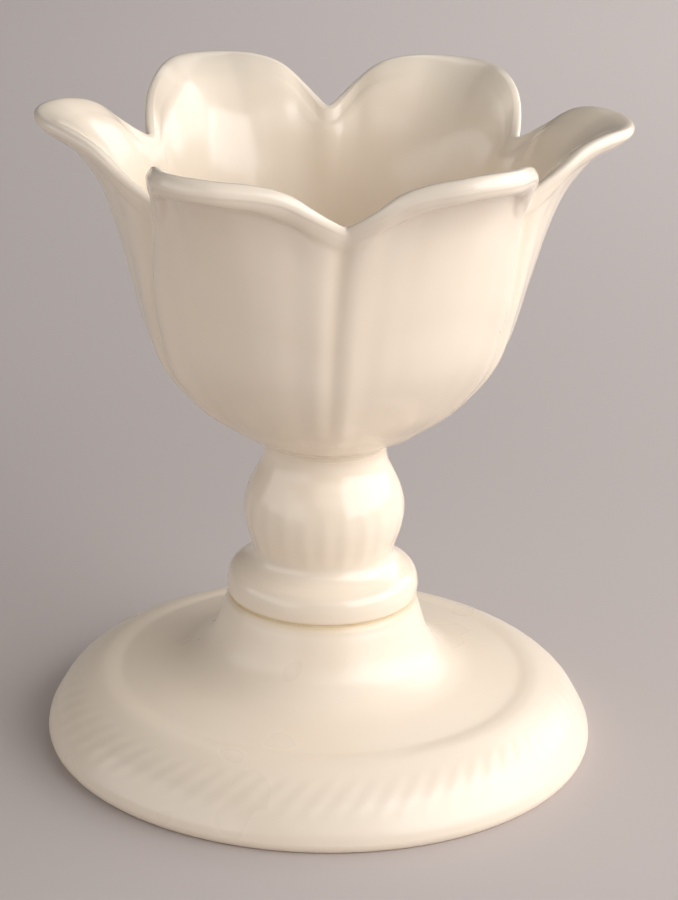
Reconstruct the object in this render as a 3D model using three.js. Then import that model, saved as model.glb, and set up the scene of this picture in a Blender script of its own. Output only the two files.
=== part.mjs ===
// Footed petal compote in cream-glazed earthenware.
// A bowl of six petals stands on a baluster stem and a domed foot, all three hollow castings.
// A thin layer of slip joins each casting to the next.
// Millimetres, +Z up. The origin is on the table, under the middle of the foot.
import * as THREE from "three";

// Domed foot
const FOOT_RADIUS = 67.5;
const FOOT_HEIGHT = 37.4;
const FOOT_WALL = 4.6;
const FOOT_EDGE_HEIGHT = 2.5; // where the foot is widest
const FOOT_UNDERCUT = 1.9; // from the widest line in to the ring that it stands on
const FOOT_RING_WIDTH = 3.6; // the flat ring that it stands on

// Outline of the foot's top from its edge to the collar.
// Each point is the share of the way out from the collar, and the share of the way up from the edge.
const FOOT_TOP_SHARES = [
  [1, 0], [0.992, 0.055], [0.964, 0.126], [0.91, 0.238], [0.843, 0.318], [0.77, 0.374],
  [0.706, 0.409], [0.652, 0.42], [0.59, 0.421], [0.518, 0.436], [0.417, 0.458], [0.305, 0.484],
  [0.226, 0.521], [0.166, 0.57], [0.114, 0.633], [0.077, 0.713], [0.051, 0.808], [0.029, 0.903],
  [0, 1],
];
// Where along that outline the hollow under the foot follows it; it runs smoothly past the raised ring.
const FOOT_HOLLOW_SHARES = [0.165, 0.22, 0.5, 0.555, 0.61, 0.665, 0.72, 0.78, 0.83, 0.89, 0.945];

// Baluster stem: its radii from the bottom up, and the rise from each to the next
const COLLAR_SEAT_RADIUS = 22.9;
const COLLAR_RADIUS = 23.7;
const WAIST_RADIUS = 17.2;
const KNOP_RADIUS = 20.0;
const NECK_RADIUS = 14.9;
const COLLAR_RISE = 2.2;
const WAIST_RISE = 9.4;
const KNOP_RISE = 10.9;
const NECK_RISE = 14.0;
const NECK_LENGTH = 2.3;
const COLLAR_POWER = 2.6; // how full the collar's round is below the crisp line where the waist starts
const STEM_WALL = 4.6;

// Layers of slip between the castings
const SLIP_THICKNESS = 0.6;
const SLIP_BEAD = 0.15; // how far the upper layer stands proud
const SLIP_GROOVE = 0.35; // how far the lower layer lies back

// Petal bowl. The outside of its wall ends at TIP_RADIUS on a petal and at NOTCH_RADIUS between petals.
const PETALS = 6;
const BOWL_HEIGHT = 78.4;
const TIP_RADIUS = 69.0;
const NOTCH_RADIUS = 50.8;
const NOTCH_DROP = 11.6; // from the petals' height down to the notches
const BOWL_WALL = 3.8;
const BOWL_FLOOR = 6.0;
const LIP_RISE = 1.4; // from the end of the outside up to the crest of the lip
const LIP_CREST = 1.3; // from the outside in to the crest
const LIP_TAPER = 7.5; // from the crest down the inside to where the wall is full
const LIP_ROLL = 0.7; // how far the lip rolls out of the wall on a petal
const LIP_ROLL_DEPTH = 5.0; // from the end of the outside down to where the roll starts
const CREASE_DEPTH = 0.5; // the groove that runs down from each notch
const CREASE_HALF_WIDTH = 2.2;
const FLUTE_DEPTH = 0.15; // the soft flutes beside each notch
const FLUTES_PER_PETAL = 6;

// Outline of the bowl's outside through the middle of a petal, from its seat to the tip.
// Each point is the share of the way out from the neck to the tip, and the share of the bowl's height.
const PETAL_SHARES = [
  [0, 0], [0.109, 0.037], [0.208, 0.1], [0.357, 0.195], [0.519, 0.359], [0.602, 0.547],
  [0.671, 0.711], [0.743, 0.829], [0.839, 0.918], [0.92, 0.962], [1, 1],
];
// The rim from a notch to the middle of a petal.
// Each row is the share of the way round, then how far out and how far up the rim is from the notch.
const RIM_SHARES = [
  [0, 0, 0], [0.12, 0.12, 0.16], [0.26, 0.31, 0.46], [0.42, 0.51, 0.81],
  [0.6, 0.72, 0.965], [0.8, 0.93, 0.995], [1, 1, 1],
];
const FLARE_POWER = 5; // how late on its way up the wall takes the rim's shape
const LEAN_SHARE = 0.85; // above this share of the outline the wall's way out stays as it is there
const RELIEF_START_SHARE = 0.35; // the crease and the flutes grow over this share of the height
const RELIEF_END_SHARE = 0.1; // and fade over this share below the rim
const FLOOR_END_SHARE = 0.35; // the wall thickens to the floor below this share of the height
const FLOOR_POWER = 4; // how late the floor turns up towards the wall

// Fineness of the faceted surfaces
const FOOT_SEGMENTS = 56;
const STEM_SEGMENTS = 36;
const EDGE_STEPS = 3;
const COLLAR_STEPS = 2;
const EASE_STEPS = 5;
const LIP_TURN_SHARES = [0.33, 0.67, 1]; // places round the lip's outside, up to its crest
const LIP_FALL_SHARES = [0.2, 0.6]; // places down the lip's inside, from its crest to the end of the outside
// Places round half a petal, from the notch to the petal's middle, closest at the crease
const ROUND_SHARES = [0, 0.06, 0.13, 0.21, 0.3, 0.4, 0.52, 0.66, 0.82, 1];
// Places up the outside and down the inside of the bowl's wall, along the petal's outline
const OUTSIDE_SHARES = [
  0, 0.09, 0.18, 0.27, 0.34, 0.4, 0.46, 0.52, 0.59, 0.67, 0.76, 0.85, 0.93, 1,
];
const INSIDE_SHARES = [
  1, 0.985, 0.965, 0.94, 0.9, 0.84, 0.76, 0.67, 0.57, 0.46, 0.34, 0.22, 0.11, 0,
];
const FLOOR_SHARES = [0.66, 0.33]; // rings on the floor, as shares of its radius
const RIM_LINES = 720; // lines round the rim from which distances to it are measured
const NUDGE = 0.002; // step, as a share, that measures the slope of a surface

const HALF_PETAL = Math.PI / PETALS;
const stemHeight = COLLAR_RISE + WAIST_RISE + KNOP_RISE + NECK_RISE + NECK_LENGTH;
const stemBase = FOOT_HEIGHT + SLIP_THICKNESS;
const bowlSeat = stemBase + stemHeight + SLIP_THICKNESS;

const glaze = { color: 0xefe4cf, roughness: 0.25, metalness: 0 };
const pooledGlaze = { color: 0xdcc9a2, roughness: 0.25, metalness: 0 };

function ease(share) {
  return (1 - Math.cos(Math.PI * share)) / 2;
}

function mix(from, to, share) {
  return from + (to - from) * share;
}

// A piece turned about the vertical axis from a closed section of [radius, height] points.
function turned(section, segments) {
  const outline = section.map(([radius, height]) => new THREE.Vector2(radius, height));
  outline.push(outline[0].clone());
  return new THREE.LatheGeometry(outline, segments).rotateX(Math.PI / 2);
}

// Foot

function footTop() {
  return new THREE.SplineCurve(FOOT_TOP_SHARES.map(([out, up]) => new THREE.Vector2(
    mix(COLLAR_SEAT_RADIUS, FOOT_RADIUS, out),
    mix(FOOT_EDGE_HEIGHT, FOOT_HEIGHT, up),
  )));
}

// The quarter round under the foot's edge, from the standing ring to the widest line.
function footEdge() {
  const points = [];
  for (let step = 0; step < EDGE_STEPS; step += 1) {
    const turn = (Math.PI / 2) * (step / EDGE_STEPS);
    const radius = FOOT_RADIUS - FOOT_UNDERCUT * (1 - Math.sin(turn));
    points.push([radius, FOOT_EDGE_HEIGHT * (1 - Math.cos(turn))]);
  }
  return points;
}

// Points of the hollow, one wall inside the foot's top.
function footHollow(top) {
  return FOOT_HOLLOW_SHARES.map((share) => {
    const point = top.getPoint(share);
    const along = top.getTangent(share);
    return [point.x - along.y * FOOT_WALL, point.y + along.x * FOOT_WALL];
  });
}

function domedFoot() {
  const top = footTop();
  const outside = top.getPoints(FOOT_TOP_SHARES.length - 1).map((point) => [point.x, point.y]);
  const ringInside = FOOT_RADIUS - FOOT_UNDERCUT - FOOT_RING_WIDTH;
  const bore = [COLLAR_SEAT_RADIUS - FOOT_WALL, FOOT_HEIGHT];
  const section = [...footEdge(), ...outside, bore, ...footHollow(top).reverse(), [ringInside, 0]];
  return turned(section, FOOT_SEGMENTS);
}

// Stem

// The stem's outside as [radius, height] points. The collar is full and rounds in to the waist's line;
// the other key radii ease into each other.
function stemOutside() {
  const full = (share) => share ** COLLAR_POWER;
  const stretches = [
    [COLLAR_SEAT_RADIUS, COLLAR_RADIUS, COLLAR_RISE, ease, COLLAR_STEPS],
    [COLLAR_RADIUS, WAIST_RADIUS, WAIST_RISE, full, EASE_STEPS],
    [WAIST_RADIUS, KNOP_RADIUS, KNOP_RISE, ease, EASE_STEPS],
    [KNOP_RADIUS, NECK_RADIUS, NECK_RISE, ease, EASE_STEPS],
  ];
  const points = [[COLLAR_SEAT_RADIUS, 0]];
  let base = 0;
  for (const [from, to, rise, bend, steps] of stretches) {
    for (let step = 1; step <= steps; step += 1) {
      const share = step / steps;
      points.push([mix(from, to, bend(share)), base + rise * share]);
    }
    base += rise;
  }
  points.push([NECK_RADIUS, stemHeight]);
  return points;
}

function balusterStem() {
  const outside = stemOutside();
  const bore = outside.map(([radius, height]) => [radius - STEM_WALL, height]);
  return turned([...outside, ...bore.reverse()], STEM_SEGMENTS);
}

// Slip layers

// A flat ring of slip whose outer edge bulges by `proud`, or lies back where that is negative.
function slipLayer(outerRadius, boreRadius, proud) {
  const section = [
    [boreRadius, 0],
    [outerRadius, 0],
    [outerRadius + proud, SLIP_THICKNESS / 2],
    [outerRadius, SLIP_THICKNESS],
    [boreRadius, SLIP_THICKNESS],
  ];
  return turned(section, STEM_SEGMENTS);
}

// Bowl

const petalOutline = new THREE.SplineCurve(PETAL_SHARES.map(([out, up]) => new THREE.Vector2(
  mix(NECK_RADIUS, TIP_RADIUS, out),
  BOWL_HEIGHT * up,
)));

// How far an angle lies from the nearest notch: 0 at the notch, 1 at the middle of a petal.
function shareFromNotch(angle) {
  const turns = angle / (2 * HALF_PETAL);
  return 2 * Math.abs(turns - Math.round(turns - 0.5) - 0.5);
}

// A smooth value through one column of RIM_SHARES, level at both ends.
function rimShare(share, column) {
  let row = 0;
  while (row < RIM_SHARES.length - 2 && share > RIM_SHARES[row + 1][0]) {
    row += 1;
  }
  const slopeAt = (index) => {
    if (index === 0 || index === RIM_SHARES.length - 1) {
      return 0;
    }
    const before = RIM_SHARES[index - 1];
    const after = RIM_SHARES[index + 1];
    return (after[column] - before[column]) / (after[0] - before[0]);
  };
  const start = RIM_SHARES[row];
  const end = RIM_SHARES[row + 1];
  const span = end[0] - start[0];
  const t = (share - start[0]) / span;
  const rise = end[column] - start[column];
  const lead = slopeAt(row) * span;
  const tail = slopeAt(row + 1) * span;
  const turnIn = lead + tail - 2 * rise;
  return start[column] + t * (lead + t * (3 * rise - 2 * lead - tail + t * turnIn));
}

// The outside of the wall without its relief, at an angle and a share of the petal's outline.
function wallPoint(angle, share) {
  const fromNotch = shareFromNotch(angle);
  const rimRadius = mix(NOTCH_RADIUS, TIP_RADIUS, rimShare(fromNotch, 1));
  const rimHeight = BOWL_HEIGHT - NOTCH_DROP * (1 - rimShare(fromNotch, 2));
  const onPetal = petalOutline.getPoint(share);
  const climb = onPetal.y / BOWL_HEIGHT;
  const radius = onPetal.x * mix(1, rimRadius / TIP_RADIUS, climb ** FLARE_POWER);
  return new THREE.Vector3(radius * Math.cos(angle), radius * Math.sin(angle), rimHeight * climb);
}

// The wall's point with the way out of it and the way up it, both of length one.
// The ways don't turn further near the rim, so the lip follows the petal without a twist.
function wallFrame(angle, share) {
  const level = Math.min(LEAN_SHARE, share);
  const below = wallPoint(angle, Math.max(0, level - NUDGE));
  const up = wallPoint(angle, level + NUDGE).sub(below).normalize();
  const round = wallPoint(angle + NUDGE, level).sub(wallPoint(angle - NUDGE, level));
  const out = round.cross(up).normalize();
  return { point: wallPoint(angle, share), out, up };
}

// The end of the wall all the way round, as short lines from which distances are measured.
const rimLines = Array.from({ length: RIM_LINES }, (_, index) => {
  const step = (2 * Math.PI) / RIM_LINES;
  return new THREE.Line3(wallPoint(step * index, 1), wallPoint(step * (index + 1), 1));
});

function distanceToRim(angle, share) {
  if (share === 1) {
    return 0;
  }
  const point = wallPoint(angle, share);
  const nearest = new THREE.Vector3();
  return Math.min(...rimLines.map((line) => (
    line.closestPointToPoint(point, true, nearest).distanceTo(point)
  )));
}

// How far the rolled lip stands out of the wall; the roll dies away into the notches.
function lipRoll(angle, belowRim) {
  const rolled = Math.max(0, 1 - (belowRim / LIP_ROLL_DEPTH) ** 2) ** 2;
  return LIP_ROLL * rolled * rimShare(shareFromNotch(angle), 2);
}

// Height of the crease, the flutes and the lip's roll over the smooth wall.
function relief(angle, share) {
  const point = wallPoint(angle, share);
  const fromNotch = shareFromNotch(angle);
  const climb = petalOutline.getPoint(share).y / BOWL_HEIGHT;
  const grown = ease(Math.min(1, climb / RELIEF_START_SHARE));
  const kept = ease(Math.min(1, (1 - climb) / RELIEF_END_SHARE));
  const arc = Math.hypot(point.x, point.y) * fromNotch * HALF_PETAL;
  const crease = -CREASE_DEPTH * Math.exp(-((arc / CREASE_HALF_WIDTH) ** 2));
  const wave = -Math.cos(Math.PI * FLUTES_PER_PETAL * fromNotch);
  const flutes = FLUTE_DEPTH * wave * (1 - fromNotch) ** 2;
  return (crease + flutes) * grown * kept + lipRoll(angle, distanceToRim(angle, share));
}

// The wall's thickness at a distance below the lip's crest.
function lipThickness(below) {
  const past = Math.min(1, below / LIP_TAPER);
  return mix(LIP_CREST, BOWL_WALL, Math.sqrt(1 - (1 - past) ** 2));
}

// The wall is thickest at the floor and tapers to its lip.
function wallThickness(angle, share) {
  const climb = petalOutline.getPoint(share).y / BOWL_HEIGHT;
  const wall = mix(BOWL_FLOOR, BOWL_WALL, ease(Math.min(1, climb / FLOOR_END_SHARE)));
  return wall - BOWL_WALL + lipThickness(LIP_RISE + distanceToRim(angle, share));
}

function outsideRing(share) {
  return (angle) => {
    const { point, out } = wallFrame(angle, share);
    return point.addScaledVector(out, relief(angle, share));
  };
}

function insideRing(share) {
  return (angle) => {
    const { point, out } = wallFrame(angle, share);
    return point.addScaledVector(out, -wallThickness(angle, share));
  };
}

// The rim's point with the way out of the wall and the way off its edge, square to the rim.
function rimFrame(angle) {
  const { point, out } = wallFrame(angle, 1);
  const along = wallPoint(angle + NUDGE, 1).sub(wallPoint(angle - NUDGE, 1));
  const off = out.clone().cross(along).normalize();
  return { point, out, off };
}

// One ring round the lip's outside, by its share of the quarter turn from the roll to the crest.
function lipOutsideRing(turnShare) {
  const turn = (Math.PI / 2) * turnShare;
  return (angle) => {
    const { point, out, off } = rimFrame(angle);
    point.addScaledVector(out, mix(-LIP_CREST, lipRoll(angle, 0), Math.cos(turn)));
    return point.addScaledVector(off, LIP_RISE * Math.sin(turn));
  };
}

// One ring down the lip's inside, by its share of the way from the crest to the end of the outside.
function lipInsideRing(fallen) {
  return (angle) => {
    const { point, out, off } = rimFrame(angle);
    point.addScaledVector(out, -lipThickness(LIP_RISE * fallen));
    return point.addScaledVector(off, LIP_RISE * (1 - fallen));
  };
}

// One ring of the dished floor, which levels out towards the axis.
function floorRing(radiusShare) {
  return (angle) => {
    const edge = insideRing(0)(angle);
    const { up } = wallFrame(angle, 0);
    const edgeRadius = Math.hypot(edge.x, edge.y);
    const dish = (up.z / Math.hypot(up.x, up.y)) * (edgeRadius / FLOOR_POWER);
    const height = edge.z - dish * (1 - radiusShare ** FLOOR_POWER);
    return new THREE.Vector3(edge.x * radiusShare, edge.y * radiusShare, height);
  };
}

// Angles round the bowl, set by the notches.
function roundAngles() {
  const angles = [];
  for (let petal = 0; petal < PETALS; petal += 1) {
    const notch = HALF_PETAL * (2 * petal + 1);
    for (const share of ROUND_SHARES.slice(1).reverse()) {
      angles.push(notch - HALF_PETAL * share);
    }
    for (const share of ROUND_SHARES.slice(0, -1)) {
      angles.push(notch + HALF_PETAL * share);
    }
  }
  return angles;
}

function petalBowl() {
  const rings = [
    ...OUTSIDE_SHARES.map(outsideRing),
    ...LIP_TURN_SHARES.map(lipOutsideRing),
    ...LIP_FALL_SHARES.map(lipInsideRing),
    ...INSIDE_SHARES.map(insideRing),
    ...FLOOR_SHARES.map(floorRing),
  ];
  const angles = roundAngles();
  const count = angles.length;
  const points = rings.flatMap((ring) => angles.map(ring));
  const seatCentre = points.push(new THREE.Vector3(0, 0, 0)) - 1;
  const floorCentre = points.push(floorRing(0)(angles[0])) - 1;
  const faces = [];
  for (let index = 0; index < count; index += 1) {
    const next = (index + 1) % count;
    faces.push(seatCentre, next, index);
    for (let ring = 0; ring < rings.length - 1; ring += 1) {
      const low = ring * count;
      const high = low + count;
      faces.push(low + index, low + next, high + next);
      faces.push(low + index, high + next, high + index);
    }
    const top = (rings.length - 1) * count;
    faces.push(top + index, top + next, floorCentre);
  }
  const geometry = new THREE.BufferGeometry().setFromPoints(points);
  geometry.setIndex(faces);
  geometry.computeVertexNormals();
  return geometry;
}

// Assembly

const compote = new THREE.Group();

function place(name, geometry, finish, height) {
  const mesh = new THREE.Mesh(geometry, new THREE.MeshStandardMaterial(finish));
  mesh.name = name;
  mesh.position.z = height;
  compote.add(mesh);
}

const footBore = COLLAR_SEAT_RADIUS - Math.min(FOOT_WALL, STEM_WALL);
const stemBore = NECK_RADIUS - STEM_WALL;

place("domed_foot", domedFoot(), glaze, 0);
place("foot_slip_joint", slipLayer(COLLAR_SEAT_RADIUS, footBore, -SLIP_GROOVE), pooledGlaze, FOOT_HEIGHT);
place("baluster_stem", balusterStem(), glaze, stemBase);
place("bowl_slip_joint", slipLayer(NECK_RADIUS, stemBore, SLIP_BEAD), pooledGlaze, stemBase + stemHeight);
place("petal_bowl", petalBowl(), glaze, bowlSeat);

export default compote;
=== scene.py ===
import math

import bpy
import numpy as np
from mathutils import Matrix, Vector


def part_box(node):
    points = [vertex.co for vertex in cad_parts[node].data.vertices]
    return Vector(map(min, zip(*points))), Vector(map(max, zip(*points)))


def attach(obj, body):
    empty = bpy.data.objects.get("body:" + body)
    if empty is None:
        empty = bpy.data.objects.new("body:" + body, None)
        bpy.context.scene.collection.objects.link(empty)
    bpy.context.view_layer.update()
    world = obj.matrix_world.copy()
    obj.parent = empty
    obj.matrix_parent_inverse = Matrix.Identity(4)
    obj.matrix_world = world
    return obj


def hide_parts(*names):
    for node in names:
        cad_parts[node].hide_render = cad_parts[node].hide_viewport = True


# Studio scene of a petal-rim compote dish in cream-glazed earthenware.
# Metres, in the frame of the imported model: +Z up, the front of the dish towards -Y.

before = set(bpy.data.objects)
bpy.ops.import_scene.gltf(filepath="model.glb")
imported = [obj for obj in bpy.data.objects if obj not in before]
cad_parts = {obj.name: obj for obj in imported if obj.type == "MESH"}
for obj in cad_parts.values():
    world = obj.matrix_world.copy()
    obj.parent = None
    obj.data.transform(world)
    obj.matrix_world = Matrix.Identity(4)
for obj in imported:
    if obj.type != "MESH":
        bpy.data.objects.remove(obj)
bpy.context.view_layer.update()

MM = 0.001

# Heights above the table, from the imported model
FOOT_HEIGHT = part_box("domed_foot")[1].z
FOOT_SLIP_HEIGHTS = [corner.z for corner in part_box("foot_slip_joint")]
STEM_BASE, STEM_TOP = [corner.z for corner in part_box("baluster_stem")]
BOWL_SLIP_HEIGHTS = [corner.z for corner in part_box("bowl_slip_joint")]
BOWL_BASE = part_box("petal_bowl")[0].z

# Baluster stem: radius and rise of the outline's points, which are stretched to the stem's height
STEM_POINTS_MM = [
    (22.9, 0), (23.3, 0.5), (23.5, 1.7), (23.5, 3.2), (23.15, 4.8), (22.55, 6), (21.7, 6.8),
    (20.7, 7.4), (19.5, 8.2), (18.4, 9.3), (17.6, 10.6), (17.35, 12.1), (18, 14.6), (18.9, 17.3),
    (19.45, 19.9), (19.6, 22.4), (19.3, 25), (18.4, 28), (16.9, 31.2), (15.5, 34), (14.9, 36.5),
    (14.9, 38.8),
]
COLLAR_SEAT_RADIUS = STEM_POINTS_MM[0][0] * MM
NECK_RADIUS = STEM_POINTS_MM[-1][0] * MM
STEM_WALL = 4.6 * MM
STEM_FLUTES = 24
STEM_FLUTE_DEPTH = 0.065 * MM
# Above the seat: where the flutes start, are full, begin to fade and end
STEM_FLUTES_RISE = (10 * MM, 16 * MM, 21 * MM, 30 * MM)

# Domed foot
FOOT_RADIUS = 67.5 * MM
FOOT_WALL = 4.6 * MM
FOOT_EDGE_HEIGHT = 2.5 * MM
FOOT_UNDERCUT = 1.9 * MM
FOOT_RING_WIDTH = 3.6 * MM
# Shares of the way out from the collar's seat to the widest line, and of the way up from that line
FOOT_TOP_SHARES = [
    (1, 0), (0.992, 0.055), (0.964, 0.126), (0.91, 0.238), (0.843, 0.318), (0.77, 0.374),
    (0.706, 0.409), (0.652, 0.42), (0.59, 0.421), (0.518, 0.436), (0.417, 0.458), (0.305, 0.484),
    (0.226, 0.521), (0.166, 0.57), (0.114, 0.633), (0.077, 0.713), (0.051, 0.808), (0.029, 0.903),
    (0, 1),
]
# Shares of the way along that outline where the hollow's points are set off from it
FOOT_HOLLOW_SHARES = [0.165, 0.22, 0.5, 0.555, 0.61, 0.665, 0.72, 0.78, 0.83, 0.89, 0.945]

# Diagonal ribs on the foot's outer slope
RIBS = 72
RIB_HEIGHT = 0.045 * MM
RIB_LEAN = 0.67  # degrees that a rib turns for each millimetre that it climbs
RIB_START = 4.5 * MM  # along the outline from the widest line
RIB_END = 17.0 * MM
RIB_FADE = 2.5 * MM

# A bead of glaze round the foot's cone, under the collar
CONE_BEAD = 0.12 * MM
CONE_BEAD_DROP = 1.3 * MM  # below the foot's top
CONE_BEAD_HALF_WIDTH = 0.5 * MM

# Joints: the lower slip lies back in its groove and the upper slip stands out a little
FOOT_SLIP_GROOVE = 0.1 * MM
BOWL_SLIP_BEAD = 0.03 * MM

# The corner between the neck and the bowl, which glaze rounds off
SEAT_FILLET = 0.2 * MM
NECK_FILLET_REACH = 2.4 * MM
BOWL_FILLET_REACH = NECK_FILLET_REACH / 3
SEAT_RAISE = 0.9 * MM  # by which the bowl's underside is higher beside the neck
SEAT_RAISE_ROUND = 0.25 * MM
SEAT_RAISE_END = 10 * MM  # above the seat

# Petal bowl
PETALS = 6
HALF_PETAL = math.pi / PETALS
BOWL_HEIGHT = 78.4 * MM
TIP_RADIUS = 69.0 * MM
NOTCH_RADIUS = 50.8 * MM
NOTCH_DROP = 11.6 * MM
BOWL_WALL = 3.8 * MM
BOWL_FLOOR = 6.0 * MM
LIP_RISE = 1.4 * MM  # of the rounded lip above the wall's end
LIP_CREST = 1.3 * MM  # thickness at the lip's crest
LIP_TAPER = 9.5 * MM  # depth over which the wall thins to it
LIP_ROLL_DEPTH = 5.8 * MM
LIP_ROLL_START = 0.25  # share of the roll's arch that is past at the wall's end
LIP_WAVES = ((23, 0.06), (41, 0.05))  # waves round the rim, and the share that they add to the depth
CREASE_DEPTH = 0.5 * MM
CREASE_HALF_WIDTH = 2.2 * MM
FLUTE_DEPTH = 0.15 * MM
FLUTES_PER_PETAL = 6
# A petal's outline: shares of the way out from the neck to the tip, and of the bowl's height
PETAL_SHARES = [
    (0, 0), (0.109, 0.037), (0.208, 0.1), (0.357, 0.195), (0.519, 0.359), (0.602, 0.547),
    (0.671, 0.711), (0.743, 0.829), (0.839, 0.918), (0.92, 0.962), (1, 1),
]
# The rim: share of the way from a notch to a petal's middle, and how far out and how far up it is there
RIM_SHARES = [
    (0, 0, 0), (0.12, 0.12, 0.16), (0.26, 0.31, 0.46), (0.42, 0.51, 0.81),
    (0.6, 0.72, 0.965), (0.8, 0.93, 0.995), (1, 1, 1),
]
FLARE_POWER = 5  # the petals part late, near the rim
LEAN_SHARE = 0.85  # of the wall, above which the ways out of it and up it stay as they are there
RELIEF_START_SHARE = 0.35  # of the bowl's height, where creases and flutes are fully grown
RELIEF_END_SHARE = 0.1  # of the bowl's height below the rim, over which they die away
FLOOR_END_SHARE = 0.35  # of the bowl's height, where the wall is no thicker than elsewhere
FLOOR_POWER = 4  # the floor is almost flat in the middle
NUDGE = 0.002  # radians or share of the wall, over which directions are measured

# How far this dish is from true, in millimetres and degrees. Petals are counted from +X, against the
# clock from above, and a notch has the number of the petal before it.
TIP_OUT = (0.5, 0.6, -0.7, -0.2, -0.6, -2.2)
TIP_UP = (-0.4, 0.1, 0.4, 0, 0.3, 1.8)
NOTCH_OUT = (2.5, 1.2, 1.3, -2, 4, 0)
NOTCH_UP = (0.4, 1.3, -0.6, -1.9, 0.3, 0.5)
NOTCH_TURN = (0, 0, -1, 3, 2, -0.8)  # degrees
# Half-way between a petal's middle and the next notch, then between that notch and the next petal
SHOULDER_OUT = (0, -0.3, 0, 0, -1.3, 0, 0, -1.2, -0.9, -0.6, 0.3, 0)
SHOULDER_UP = (0, 0, 0, 0, 0, 0, 0, 0.1, -0.7, -1.2, -0.3, 0)
# How far each petal's rolled lip stands out
LIP_ROLLS = (0.6, 0.6, 0.6, 0.6, 2.2, 2.2)
# A soft fold in the front petal on the left
FOLD_ANGLE = 251  # degrees
FOLD_HALF_WIDTH = 10  # degrees
FOLD_HEIGHT = 1.0 * MM

# Pooled glaze: its share in each corner, and how far it reaches from there
FOOT_POOL, FOOT_POOL_REACH = 0.6, 2.5 * MM
COLLAR_POOL, COLLAR_POOL_REACH = 0.45, 1.5 * MM
NECK_POOL, NECK_POOL_REACH = 0.1, 2.5 * MM
BOWL_POOL, BOWL_POOL_REACH = 0.1, 2 * MM
CREASE_POOL = 0.06
LIP_THIN = 0.15  # share of thin glaze on the lip

# Camera, fitted to the photograph's frame of 678 by 900 pixels
FRAME_HEIGHT_PX = 900
FOCAL_PX = 2932
SENSOR_MM = 36.0  # along the frame's longer side
CAMERA_ELEVATION = 20.66  # degrees, as the roll and the turn are
CAMERA_DISTANCE = 711.3 * MM
CAMERA_AIM = (3.3 * MM, 74.5 * MM)  # to the right of the axis, and above the table
CAMERA_ROLL = 1.48
CAMERA_TURN = -1.8  # round the dish, from straight ahead
CAMERA_NEAR, CAMERA_FAR = 0.05, 20

# Softboxes round the dish: azimuth from the front towards +X and elevation, both in degrees, distance
# from the dish's middle, width and height, and watts
DISH_MIDDLE = 80 * MM
SOFTBOXES = {
    "key_softbox": (60, 26, 1.2, (1.3, 0.9), 14.5),
    "side_softbox": (112, 22, 1.2, (1.1, 0.8), 7.0),
    "fill_softbox": (-66, 14, 2.0, (3.0, 1.0), 15.0),
    "front_softbox": (5, 34, 1.3, (0.8, 0.5), 1.2),
}
LIGHT_TINT = (1, 0.99, 0.985)

# A softbox above the table behind the dish
BACKDROP_PLACE = (0.35, 1.1, 0.9)
BACKDROP_AIM = (0.35, 1.05, 0)
BACKDROP_SIZE = (1.0, 1.0)
BACKDROP_POWER = 3.0
BACKDROP_SPREAD = 110  # degrees

FLOOR_HALF_SIDE = 6.0

# Fineness: points round each casting
FOOT_ROUND = 720
STEM_ROUND = 288
BOWL_ROUND = 600

# Fineness: rings along each outline
FOOT_EDGE_STEPS = 10
FOOT_TOP_STEPS = 150
FOOT_HOLLOW_STEPS = 60
STEM_STEPS = 132
SLIP_STEPS = 9
OUTSIDE_STEPS = 120
OUTSIDE_CROWDING = 1.25  # a power over 1 brings the rings closer near the seat
LIP_STEPS = 8
FALL_STEPS = 8
INSIDE_RIM_SHARE = 0.9  # of the wall, above which the rings inside lie closer
INSIDE_RIM_STEPS = 24
INSIDE_STEPS = 90
FLOOR_STEPS = 24


def ease(share):
    """A soft start and end between 0 and 1."""
    return (1 - np.cos(np.pi * np.clip(share, 0, 1))) / 2


def mix(start, end, share):
    """The value at a share of the way from start to end."""
    return start + (end - start) * share


def fade(gap, reach):
    """From 1 at a corner down to 0 at its reach."""
    return np.clip(1 - gap / reach, 0, 1) ** 2


def unit(vectors):
    return vectors / np.linalg.norm(vectors, axis=-1, keepdims=True)


def smooth_curve(points, shares):
    """Points on the smooth curve through `points`, at shares of the way along it, and its direction."""
    points = np.asarray(points, float)
    last = len(points) - 1
    place = np.clip(np.asarray(shares, float), 0, 1) * last
    index = np.minimum(np.floor(place).astype(int), last - 1)
    t = (place - index)[..., None]
    before = points[np.maximum(index - 1, 0)]
    start = points[index]
    end = points[index + 1]
    after = points[np.minimum(index + 2, last)]
    lead = (end - before) / 2
    tail = (after - start) / 2
    turn_in = lead + tail - 2 * (end - start)
    swing = 3 * (end - start) - 2 * lead - tail
    point = start + t * (lead + t * (swing + t * turn_in))
    heading = lead + t * (2 * swing + 3 * t * turn_in)
    return point, unit(heading)


def make_piece(name, points, faces, node, material, pooled=0, thin=0):
    """A smooth-shaded piece that stands for a CAD node, hides that node and is attached to the root body.

    `pooled` and `thin` are the shares of pooled and of thin glaze, for the piece or for each point.
    """
    mesh = bpy.data.meshes.new(name)
    mesh.from_pydata(points.tolist(), [], faces)
    mesh.polygons.foreach_set("use_smooth", [True] * len(mesh.polygons))
    for label, share in (("pooled", pooled), ("thin", thin)):
        layer = mesh.attributes.new(label, "FLOAT", "POINT")
        layer.data.foreach_set("value", np.full(len(points), share, np.float32))
    mesh.materials.append(material)
    mesh.update()
    piece = bpy.data.objects.new(name, mesh)
    bpy.context.scene.collection.objects.link(piece)
    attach(piece, "root")
    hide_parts(node)


def ring_faces(rings, count, closed):
    """Quads between rings of `count` points; `closed` joins the last ring to the first."""
    faces = []
    for ring in range(rings if closed else rings - 1):
        low = ring * count
        high = ((ring + 1) % rings) * count
        for index in range(count):
            after = (index + 1) % count
            faces.append((low + index, low + after, high + after, high + index))
    return faces


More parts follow.
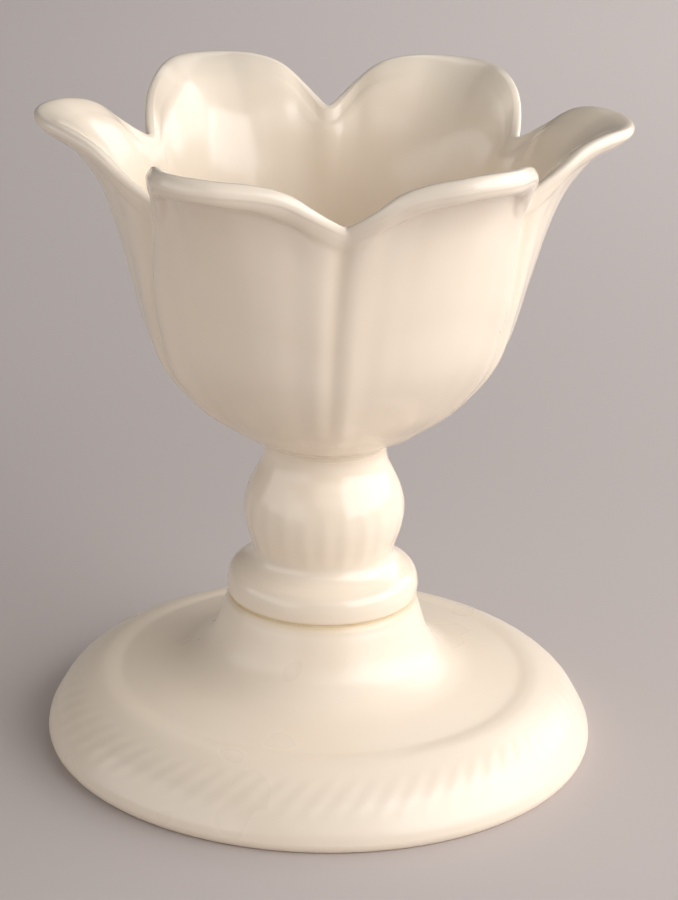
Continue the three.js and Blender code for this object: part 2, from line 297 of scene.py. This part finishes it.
def turned(section, count, carving=None):
    """Points of a closed section of (radius, height) turned about the axis.

    `carving` gives the way out of the surface and how far it stands out, at each of some angles.
    """
    section = np.asarray(section, float)
    angles = np.arange(count) * (2 * np.pi / count)
    radius = np.repeat(section[:, :1], count, axis=1)
    height = np.repeat(section[:, 1:], count, axis=1)
    if carving is not None:
        out, up, amount = carving(angles)
        radius = radius + out * amount
        height = height + up * amount
    points = np.stack([radius * np.cos(angles), radius * np.sin(angles), height], axis=-1)
    return points.reshape(-1, 3)


# Materials


def colour(red, green, blue):
    """A linear colour from the values that it shows as on a screen, 0 to 255."""
    def linear(value):
        share = value / 255
        return share / 12.92 if share <= 0.04045 else ((share + 0.055) / 1.055) ** 2.4
    return (linear(red), linear(green), linear(blue), 1)


GLAZE = colour(244, 229, 209)
THIN_GLAZE = colour(249, 240, 228)
POOLED_GLAZE = colour(214, 188, 140)
SPECK = colour(120, 92, 60)
FLOOR = colour(200, 191, 188)
WORLD = colour(255, 250, 249)

GLAZE_IOR = 1.52
CAST_ROUGHNESS = (0.15, 0.2)
FOOT_ROUGHNESS = (0.26, 0.34)
SLIP_ROUGHNESS = 0.2
FLOOR_ROUGHNESS = 0.6
FLOOR_SPECULAR = 0.2
WORLD_STRENGTH = 0.09

# Least and most of the body's glaze over the pooled glaze on the slip
FOOT_SLIP_COVER = (0.1, 0.6)
BOWL_SLIP_COVER = (0.8, 1.0)

# Patterns in the glaze; a scale is in patches for each metre
NOISE_SPAN = (0.3, 0.7)
NOISE_DETAIL = 2.0
CLOUD_SCALE, CLOUD_DETAIL = 22.0, 3.0
CLOUD_THIN_SHARES = (0.0, 0.22)
SPECK_SCALE = 95.0
SPECK_EDGE = (0.02, 0.035)
SPECK_PATCH_SCALE, SPECK_PATCH_DETAIL = 70.0, 0.0
SPECK_PATCH_EDGE = (0.66, 0.72)
SPECK_SHARES = (0.0, 0.6)
GLOSS_SCALE = 40.0
RIPPLE_SCALE = 160.0
RIPPLE_STRENGTH = 0.12
RIPPLE_HEIGHT = 0.4 * MM
SLIP_SCALE, SLIP_DETAIL = 120.0, 3.0


class Finish:
    """A new material, with short calls that add and join its nodes."""

    def __init__(self, name):
        self.material = bpy.data.materials.new(name)
        self.material.use_nodes = True
        self.tree = self.material.node_tree
        self.shader = self.tree.nodes["Principled BSDF"]

    def add(self, kind, **settings):
        node = self.tree.nodes.new(kind)
        for name, value in settings.items():
            setattr(node, name, value)
        return node

    def link(self, source, target):
        self.tree.links.new(source, target)

    def place(self):
        return self.add("ShaderNodeTexCoord").outputs["Object"]

    def share(self, label):
        return self.add("ShaderNodeAttribute", attribute_name=label).outputs["Fac"]

    def noise(self, place, scale, detail=NOISE_DETAIL):
        node = self.add("ShaderNodeTexNoise")
        node.inputs["Scale"].default_value = scale
        node.inputs["Detail"].default_value = detail
        self.link(place, node.inputs["Vector"])
        return node.outputs["Fac"]

    def remap(self, value, span, new_span):
        node = self.add("ShaderNodeMapRange")
        for label, number in zip(("From Min", "From Max", "To Min", "To Max"), (*span, *new_span)):
            node.inputs[label].default_value = number
        self.link(value, node.inputs["Value"])
        return node.outputs["Result"]

    def mix(self, share, first, second):
        node = self.add("ShaderNodeMix", data_type="RGBA")
        self.link(share, node.inputs["Factor"])
        for label, value in (("A", first), ("B", second)):
            socket = [s for s in node.inputs if s.name == label and s.type == "RGBA"][0]
            if isinstance(value, tuple):
                socket.default_value = value
            else:
                self.link(value, socket)
        return [s for s in node.outputs if s.type == "RGBA"][0]


def glaze_material(name, roughness):
    """Cream glaze: pooled and yellower in hollows, thinner and paler on edges, with a few specks."""
    finish = Finish(name)
    place = finish.place()
    clouds = finish.noise(place, CLOUD_SCALE, CLOUD_DETAIL)
    body = finish.mix(finish.remap(clouds, NOISE_SPAN, CLOUD_THIN_SHARES), GLAZE, THIN_GLAZE)
    edged = finish.mix(finish.share("thin"), body, THIN_GLAZE)
    filled = finish.mix(finish.share("pooled"), edged, POOLED_GLAZE)

    cells = finish.add("ShaderNodeTexVoronoi", feature="F1")
    cells.inputs["Scale"].default_value = SPECK_SCALE
    finish.link(place, cells.inputs["Vector"])
    dots = finish.remap(cells.outputs["Distance"], SPECK_EDGE, (1, 0))
    patches = finish.noise(place, SPECK_PATCH_SCALE, SPECK_PATCH_DETAIL)
    chosen = finish.remap(patches, SPECK_PATCH_EDGE, SPECK_SHARES)
    specks = finish.add("ShaderNodeMath", operation="MULTIPLY")
    finish.link(dots, specks.inputs[0])
    finish.link(chosen, specks.inputs[1])
    tone = finish.mix(specks.outputs[0], filled, SPECK)
    finish.link(tone, finish.shader.inputs["Base Color"])

    gloss = finish.remap(finish.noise(place, GLOSS_SCALE), NOISE_SPAN, roughness)
    finish.link(gloss, finish.shader.inputs["Roughness"])
    finish.shader.inputs["IOR"].default_value = GLAZE_IOR
    bump = finish.add("ShaderNodeBump")
    bump.inputs["Strength"].default_value = RIPPLE_STRENGTH
    bump.inputs["Distance"].default_value = RIPPLE_HEIGHT
    finish.link(finish.noise(place, RIPPLE_SCALE), bump.inputs["Height"])
    finish.link(bump.outputs["Normal"], finish.shader.inputs["Normal"])
    return finish.material


def slip_material(name, cover):
    """Glaze over the slip in a joint: between pooled glaze, 0, and the body's glaze, 1."""
    finish = Finish(name)
    noise = finish.noise(finish.place(), SLIP_SCALE, SLIP_DETAIL)
    tone = finish.mix(finish.remap(noise, NOISE_SPAN, cover), POOLED_GLAZE, GLAZE)
    finish.link(tone, finish.shader.inputs["Base Color"])
    finish.shader.inputs["Roughness"].default_value = SLIP_ROUGHNESS
    finish.shader.inputs["IOR"].default_value = GLAZE_IOR
    return finish.material


# Foot


def foot_top(shares):
    """Points of the foot's outside from its widest line up to the collar's seat, and its direction."""
    outline = [
        (mix(COLLAR_SEAT_RADIUS, FOOT_RADIUS, out), mix(FOOT_EDGE_HEIGHT, FOOT_HEIGHT, up))
        for out, up in FOOT_TOP_SHARES
    ]
    return smooth_curve(outline, shares)


def foot_edge():
    """The quarter-round under the widest line, from the ring that the foot stands on."""
    turn = (np.pi / 2) * np.arange(FOOT_EDGE_STEPS) / FOOT_EDGE_STEPS
    return np.stack([
        FOOT_RADIUS - FOOT_UNDERCUT * (1 - np.sin(turn)),
        FOOT_EDGE_HEIGHT * (1 - np.cos(turn)),
    ], axis=-1)


def foot_hollow():
    """The hollow under the foot, from its narrow top down to the ring."""
    kept, along = foot_top(FOOT_HOLLOW_SHARES)
    keys = kept + FOOT_WALL * np.stack([-along[:, 1], along[:, 0]], axis=-1)
    hollow, _ = smooth_curve(keys[::-1], np.linspace(0, 1, FOOT_HOLLOW_STEPS))
    return hollow


def build_foot(material):
    edge = foot_edge()
    top, heading = foot_top(np.linspace(0, 1, FOOT_TOP_STEPS))
    bore = [(COLLAR_SEAT_RADIUS - FOOT_WALL, FOOT_HEIGHT)]
    ring_inside = [(FOOT_RADIUS - FOOT_UNDERCUT - FOOT_RING_WIDTH, 0)]
    section = np.concatenate([edge, top, bore, foot_hollow(), ring_inside])

    travel = np.concatenate([[0], np.cumsum(np.linalg.norm(np.diff(top, axis=0), axis=1))])
    strength = ease((travel - RIB_START) / RIB_FADE) * ease((RIB_END - travel) / RIB_FADE)
    lean = np.radians(RIB_LEAN) * (travel - RIB_START) / MM
    bead = np.exp(-((FOOT_HEIGHT - CONE_BEAD_DROP - top[:, 1]) / CONE_BEAD_HALF_WIDTH) ** 2)

    def ribs_and_bead(angles):
        out = np.zeros((len(section), 1))
        up = np.zeros((len(section), 1))
        amount = np.zeros((len(section), len(angles)))
        rows = slice(len(edge), len(edge) + len(top))
        out[rows, 0] = heading[:, 1]
        up[rows, 0] = -heading[:, 0]
        wave = np.cos(RIBS * (angles[None, :] - lean[:, None]))
        amount[rows] = RIB_HEIGHT * strength[:, None] * wave + CONE_BEAD * bead[:, None]
        return out, up, amount

    points = turned(section, FOOT_ROUND, ribs_and_bead)
    faces = ring_faces(len(section), FOOT_ROUND, True)
    pooled = FOOT_POOL * fade(FOOT_HEIGHT - points[:, 2], FOOT_POOL_REACH)
    make_piece("foot_casting", points, faces, "domed_foot", material, pooled)


# Stem


def seat_fillet(gap, reach):
    """How far glaze fills the corner between the neck and the bowl, at a gap from that corner."""
    return SEAT_FILLET * fade(gap, reach)


def stem_outline():
    """A round collar, a waist, a knop and a neck that meets the bowl in a fillet."""
    stretch = (STEM_TOP - STEM_BASE) / STEM_POINTS_MM[-1][1]
    keys = [(radius * MM, STEM_BASE + rise * stretch) for radius, rise in STEM_POINTS_MM]
    outline, _ = smooth_curve(keys, np.linspace(0, 1, STEM_STEPS))
    outline[:, 0] += seat_fillet(BOWL_BASE - outline[:, 1], NECK_FILLET_REACH)
    return outline


def build_stem(material):
    outside = stem_outline()
    bore = outside[::-1] - np.array([STEM_WALL, 0])
    section = np.concatenate([outside, bore])
    rise = outside[:, 1] - STEM_BASE
    start, full, fading, end = STEM_FLUTES_RISE
    strength = ease((rise - start) / (full - start)) * ease((end - rise) / (end - fading))

    def flutes(angles):
        amount = np.zeros((len(section), len(angles)))
        from_front = angles + np.pi / 2
        amount[:len(outside)] = STEM_FLUTE_DEPTH * strength[:, None] * np.cos(STEM_FLUTES * from_front)
        return np.ones((len(section), 1)), np.zeros((len(section), 1)), amount

    points = turned(section, STEM_ROUND, flutes)
    faces = ring_faces(len(section), STEM_ROUND, True)
    pooled = COLLAR_POOL * fade(points[:, 2] - STEM_BASE, COLLAR_POOL_REACH)
    pooled += NECK_POOL * fade(STEM_TOP - points[:, 2], NECK_POOL_REACH)
    make_piece("stem_casting", points, faces, "baluster_stem", material, pooled)


# Layers of slip


def build_slip(name, node, heights, radii, proud, material):
    """A rounded ring of slip that fills the joint between two castings of the given outer radii."""
    low, high = heights
    arc = np.linspace(-np.pi / 2, np.pi / 2, SLIP_STEPS)
    place = (1 + np.sin(arc)) / 2
    rim = np.stack([mix(*radii, place) + proud * np.cos(arc), mix(low, high, place)], axis=-1)
    bore = min(radii) - STEM_WALL
    section = np.concatenate([[(bore, low)], rim, [(bore, high)]])
    points = turned(section, STEM_ROUND)
    faces = ring_faces(len(section), STEM_ROUND, True)
    make_piece(name, points, faces, node, material)


def build_foot_slip():
    radii = (COLLAR_SEAT_RADIUS, COLLAR_SEAT_RADIUS)
    material = slip_material("foot_slip_finish", FOOT_SLIP_COVER)
    build_slip("foot_slip_ring", "foot_slip_joint", FOOT_SLIP_HEIGHTS, radii, -FOOT_SLIP_GROOVE, material)


def build_bowl_slip():
    neck_top = NECK_RADIUS + seat_fillet(BOWL_BASE - STEM_TOP, NECK_FILLET_REACH)
    radii = (neck_top, NECK_RADIUS + SEAT_FILLET)
    material = slip_material("bowl_slip_finish", BOWL_SLIP_COVER)
    build_slip("bowl_slip_ring", "bowl_slip_joint", BOWL_SLIP_HEIGHTS, radii, BOWL_SLIP_BEAD, material)


# Bowl


def share_from_notch(angle):
    """The share of the way round from the nearest notch, 0, to its petal's middle, 1."""
    turns = angle / (2 * HALF_PETAL)
    return 2 * np.abs(turns - np.round(turns - 0.5) - 0.5)


def nearest_petal(angle):
    """The number of the petal that an angle lies in."""
    return np.round(angle / (2 * HALF_PETAL)).astype(int) % PETALS


def rim_share(share, column):
    """A smooth value through one column of RIM_SHARES, level at both ends."""
    rows = np.array(RIM_SHARES, float)
    place, value = rows[:, 0], rows[:, column]
    slope = np.zeros(len(rows))
    slope[1:-1] = (value[2:] - value[:-2]) / (place[2:] - place[:-2])
    row = np.clip(np.searchsorted(place, share, side="left") - 1, 0, len(rows) - 2)
    span = place[row + 1] - place[row]
    t = (share - place[row]) / span
    rise = value[row + 1] - value[row]
    lead = slope[row] * span
    tail = slope[row + 1] * span
    turn_in = lead + tail - 2 * rise
    return value[row] + t * (lead + t * (3 * rise - 2 * lead - tail + t * turn_in))


def petal_point(share):
    """Radius and height on a true petal's outline, at a share of the way up it."""
    outline = [(mix(NECK_RADIUS, TIP_RADIUS, out), BOWL_HEIGHT * up) for out, up in PETAL_SHARES]
    return smooth_curve(outline, share)[0]


def petal_climb(share):
    """The share of the bowl's height at a share of the way up the outline."""
    return petal_point(share)[..., 1] / BOWL_HEIGHT


def out_of_true(angle, notches, petals):
    """An irregularity at an angle, easing from each notch to the next petal's middle."""
    notch = np.asarray(notches, float)[np.floor(angle / (2 * HALF_PETAL)).astype(int) % PETALS]
    petal = np.asarray(petals, float)[nearest_petal(angle)]
    return mix(notch, petal, ease(share_from_notch(angle)))


def shoulder(angle, heights):
    """An irregularity half-way between the notches and the petals' middles."""
    half = np.asarray(heights, float)[np.floor(angle / HALF_PETAL).astype(int) % (2 * PETALS)]
    return half * np.sin(np.pi * share_from_notch(angle)) ** 2


def wall_point(angle, share):
    """A point of the smooth wall's outside, at an angle and a share of the way up it."""
    from_notch = share_from_notch(angle)
    out = (out_of_true(angle, NOTCH_OUT, TIP_OUT) + shoulder(angle, SHOULDER_OUT)) * MM
    up = (out_of_true(angle, NOTCH_UP, TIP_UP) + shoulder(angle, SHOULDER_UP)) * MM
    rim_radius = mix(NOTCH_RADIUS, TIP_RADIUS, rim_share(from_notch, 1)) + out
    rim_height = BOWL_HEIGHT - NOTCH_DROP * (1 - rim_share(from_notch, 2)) + up
    on_petal = petal_point(share)
    climb = on_petal[..., 1] / BOWL_HEIGHT
    shaped = climb ** FLARE_POWER
    radius = on_petal[..., 0] * mix(1, rim_radius / TIP_RADIUS, shaped)
    placed = angle + np.radians(out_of_true(angle, NOTCH_TURN, np.zeros(PETALS))) * shaped
    height = BOWL_BASE + rim_height * climb
    return np.stack([radius * np.cos(placed), radius * np.sin(placed), height], axis=-1)


def wall_frame(angle, share):
    """The wall's point, the way out of it and the way up it."""
    level = np.minimum(LEAN_SHARE, share)
    up = unit(wall_point(angle, level + NUDGE) - wall_point(angle, np.maximum(0, level - NUDGE)))
    around = wall_point(angle + NUDGE, level) - wall_point(angle - NUDGE, level)
    out = unit(np.cross(around, up))
    return wall_point(angle, share), out, up


def rim_frame(angle):
    """The rim's point, the way out of the wall and the way off its edge, square to the rim."""
    point, out, _ = wall_frame(angle, np.ones_like(angle))
    ahead = wall_point(angle + NUDGE, np.ones_like(angle))
    behind = wall_point(angle - NUDGE, np.ones_like(angle))
    return point, out, unit(np.cross(out, ahead - behind))


def distance_to_rim(angle, share):
    """How far points of the wall, in rings of every angle, lie below its end."""
    rim = wall_point(angle[0], np.ones_like(angle[0]))
    line = np.roll(rim, -1, axis=0) - rim
    length = np.linalg.norm(line, axis=-1)
    reach = len(rim) // (2 * PETALS)
    point = wall_point(angle, share)
    least = np.full(angle.shape, np.inf)
    for shift in range(-reach, reach + 1):
        start = np.roll(rim, shift, axis=0)
        along = np.roll(line, shift, axis=0)
        place = np.sum((point - start) * along, axis=-1) / np.roll(length, shift) ** 2
        nearest = start + along * np.clip(place, 0, 1)[..., None]
        least = np.minimum(least, np.linalg.norm(point - nearest, axis=-1))
    return least


def lip_roll(angle, below_rim):
    """How far the rolled lip stands out of the wall; the roll dies away into the notches."""
    height = np.asarray(LIP_ROLLS)[nearest_petal(angle)] * MM
    waves = sum(swing * np.sin(count * angle) for count, swing in LIP_WAVES)
    place = np.clip(below_rim / (LIP_ROLL_DEPTH * (1 + waves)), 0, 1)
    arch = np.sin(np.pi * mix(LIP_ROLL_START, 1, place))
    return height * arch * rim_share(share_from_notch(angle), 2) ** 2


def relief(angle, share):
    """How far creases, flutes, the fold and the lip's roll stand out of the smooth wall."""
    point = wall_point(angle, share)
    from_notch = share_from_notch(angle)
    climb = petal_climb(share)
    grown = ease(climb / RELIEF_START_SHARE)
    kept = ease((1 - climb) / RELIEF_END_SHARE)
    arc = np.hypot(point[..., 0], point[..., 1]) * from_notch * HALF_PETAL
    crease = -CREASE_DEPTH * np.exp(-(arc / CREASE_HALF_WIDTH) ** 2)
    wave = -np.cos(np.pi * FLUTES_PER_PETAL * from_notch)
    flutes = FLUTE_DEPTH * wave * (1 - from_notch) ** 2
    fold = FOLD_HEIGHT * np.exp(-((np.degrees(angle) - FOLD_ANGLE) / FOLD_HALF_WIDTH) ** 2)
    return (crease + flutes + fold) * grown * kept + lip_roll(angle, distance_to_rim(angle, share))


def lip_thickness(below):
    """The wall's thickness at a distance below the lip's crest."""
    past = np.clip(below / LIP_TAPER, 0, 1)
    return mix(LIP_CREST, BOWL_WALL, np.sqrt(1 - (1 - past) ** 2))


def wall_thickness(angle, share):
    """The wall is thickest at the floor and tapers to its lip."""
    wall = mix(BOWL_FLOOR, BOWL_WALL, ease(petal_climb(share) / FLOOR_END_SHARE))
    return wall - BOWL_WALL + lip_thickness(LIP_RISE + distance_to_rim(angle, share))


def grid(shares, angles):
    """Every share with every angle: a ring of angles for each share."""
    return np.meshgrid(shares, angles, indexing="ij")


def bowl_outside(angles):
    """Rings of the outside from the seat up to the rim, and how far each point stands out."""
    shares, around = grid(np.linspace(0, 1, OUTSIDE_STEPS) ** OUTSIDE_CROWDING, angles)
    point, out, _ = wall_frame(around, shares)
    height = relief(around, shares)
    outside = point + out * height[..., None]
    above_seat = outside[..., 2] - BOWL_BASE
    fillet = seat_fillet(above_seat, BOWL_FILLET_REACH)
    lifted = SEAT_RAISE * (1 - np.exp(-above_seat / SEAT_RAISE_ROUND))
    lifted = lifted * ease(1 - above_seat / SEAT_RAISE_END)
    outside = outside + np.stack([fillet * np.cos(around), fillet * np.sin(around), lifted], axis=-1)
    return outside, height


def bowl_lip(angles):
    """Rings round the lip: over its outer edge to the crest, and down to the wall's inside."""
    turn, around = grid(np.linspace(0, np.pi / 2, LIP_STEPS + 1)[1:], angles)
    point, out, off = rim_frame(around)
    over = point + out * mix(-LIP_CREST, lip_roll(around, 0), np.cos(turn))[..., None]
    over = over + off * (LIP_RISE * np.sin(turn))[..., None]

    fallen, around = grid(np.linspace(0, 1, FALL_STEPS + 1)[1:-1] ** 2, angles)
    point, out, off = rim_frame(around)
    fall = point - out * lip_thickness(LIP_RISE * fallen)[..., None]
    fall = fall + off * (LIP_RISE * (1 - fallen))[..., None]
    return np.concatenate([over, fall])


def bowl_inside(angles):
    """Rings of the inside from the rim down to the floor."""
    near_rim = np.linspace(1, INSIDE_RIM_SHARE, INSIDE_RIM_STEPS)
    below = np.linspace(INSIDE_RIM_SHARE, 0, INSIDE_STEPS)[1:]
    shares, around = grid(np.concatenate([near_rim, below]), angles)
    point, out, _ = wall_frame(around, shares)
    return point - out * wall_thickness(around, shares)[..., None]


def bowl_floor(edge, angles):
    """Rings from the edge of the floor towards its middle, and the middle's height."""
    _, _, up = wall_frame(angles, np.zeros_like(angles))
    edge_radius = np.hypot(edge[:, 0], edge[:, 1])
    sag = up[:, 2] / np.hypot(up[:, 0], up[:, 1]) * edge_radius / FLOOR_POWER
    level, depth = edge[:, 2].mean(), sag.mean()
    shrink = np.linspace(1, 0, FLOOR_STEPS + 2)[1:-1][:, None]
    kept = ease(shrink)
    height = mix(level, edge[:, 2], kept) - mix(depth, sag, kept) * (1 - shrink ** FLOOR_POWER)
    return np.stack([edge[:, 0] * shrink, edge[:, 1] * shrink, height], axis=-1), level - depth


def build_bowl(material):
    angles = np.arange(BOWL_ROUND) * (2 * np.pi / BOWL_ROUND)
    outside, height = bowl_outside(angles)
    lip = bowl_lip(angles)
    inside = bowl_inside(angles)
    floor, middle_height = bowl_floor(inside[-1], angles)
    rings = np.concatenate([outside, lip, inside, floor])
    middles = [(0, 0, BOWL_BASE), (0, 0, middle_height)]
    points = np.concatenate([rings.reshape(-1, 3), middles])

    faces = ring_faces(len(rings), BOWL_ROUND, False)
    last_ring = (len(rings) - 1) * BOWL_ROUND
    seat_middle = len(rings) * BOWL_ROUND
    floor_middle = seat_middle + 1
    for index in range(BOWL_ROUND):
        after = (index + 1) % BOWL_ROUND
        faces.append((seat_middle, after, index))
        faces.append((last_ring + index, last_ring + after, floor_middle))

    pooled = np.zeros(len(points))
    thin = np.zeros(len(points))
    lip_start = len(outside) * BOWL_ROUND
    lip_end = lip_start + len(lip) * BOWL_ROUND
    pooled[:lip_start] = CREASE_POOL * np.clip(-height.reshape(-1) / CREASE_DEPTH, 0, 1)
    pooled[:lip_start] += BOWL_POOL * fade(points[:lip_start, 2] - BOWL_BASE, BOWL_POOL_REACH)
    thin[lip_start:lip_end] = LIP_THIN
    make_piece("bowl_casting", points, faces, "petal_bowl", material, pooled, thin)


# Studio


def make_camera():
    """Looks down at the dish as the photograph does, on a long lens."""
    tilt = math.radians(CAMERA_ELEVATION)
    aim_right, aim_height = CAMERA_AIM
    place = Vector((
        aim_right,
        -CAMERA_DISTANCE * math.cos(tilt),
        aim_height + CAMERA_DISTANCE * math.sin(tilt),
    ))
    data = bpy.data.cameras.new("camera")
    data.sensor_width = SENSOR_MM
    data.lens = FOCAL_PX / FRAME_HEIGHT_PX * SENSOR_MM
    data.clip_start = CAMERA_NEAR
    data.clip_end = CAMERA_FAR
    camera = bpy.data.objects.new("camera", data)
    bpy.context.scene.collection.objects.link(camera)
    turn = Matrix.Rotation(math.radians(CAMERA_TURN), 4, "Z")
    look_down = Matrix.Rotation(math.pi / 2 - tilt, 4, "X")
    roll = Matrix.Rotation(math.radians(CAMERA_ROLL), 4, "Z")
    camera.matrix_world = turn @ Matrix.Translation(place) @ look_down @ roll
    bpy.context.scene.camera = camera


def make_floor():
    half = FLOOR_HALF_SIDE
    mesh = bpy.data.meshes.new("studio_floor")
    corners = [(-half, -half, 0), (half, -half, 0), (half, half, 0), (-half, half, 0)]
    mesh.from_pydata(corners, [], [(0, 1, 2, 3)])
    finish = Finish("studio_floor_finish")
    finish.shader.inputs["Base Color"].default_value = FLOOR
    finish.shader.inputs["Roughness"].default_value = FLOOR_ROUGHNESS
    finish.shader.inputs["Specular IOR Level"].default_value = FLOOR_SPECULAR
    mesh.materials.append(finish.material)
    floor = bpy.data.objects.new("studio_floor", mesh)
    bpy.context.scene.collection.objects.link(floor)


def make_world():
    world = bpy.data.worlds.new("studio_world")
    world.use_nodes = True
    background = world.node_tree.nodes["Background"]
    background.inputs["Color"].default_value = WORLD
    background.inputs["Strength"].default_value = WORLD_STRENGTH
    bpy.context.scene.world = world


def area_light(name, place, target, size, power):
    data = bpy.data.lights.new(name, "AREA")
    data.shape = "RECTANGLE"
    data.size, data.size_y = size
    data.energy = power
    data.color = LIGHT_TINT
    lamp = bpy.data.objects.new(name, data)
    bpy.context.scene.collection.objects.link(lamp)
    lamp.location = place
    aim = Vector(target) - Vector(place)
    lamp.rotation_mode = "QUATERNION"
    lamp.rotation_quaternion = aim.to_track_quat("-Z", "Y")
    return data


def around_dish(azimuth, elevation, distance):
    """A place at a distance from the dish's middle."""
    turn, climb = math.radians(azimuth), math.radians(elevation)
    level = distance * math.cos(climb)
    return level * math.sin(turn), -level * math.cos(turn), DISH_MIDDLE + distance * math.sin(climb)


def make_lights():
    for name, (azimuth, elevation, distance, size, power) in SOFTBOXES.items():
        area_light(name, around_dish(azimuth, elevation, distance), (0, 0, DISH_MIDDLE), size, power)
    backdrop = area_light("backdrop_softbox", BACKDROP_PLACE, BACKDROP_AIM, BACKDROP_SIZE, BACKDROP_POWER)
    backdrop.spread = math.radians(BACKDROP_SPREAD)


make_camera()
glaze = glaze_material("cream_glaze_finish", CAST_ROUGHNESS)
build_foot(glaze_material("foot_glaze_finish", FOOT_ROUGHNESS))
build_foot_slip()
build_stem(glaze)
build_bowl_slip()
build_bowl(glaze)
make_floor()
make_world()
make_lights()

bpy.context.scene.view_settings.view_transform = "Standard"
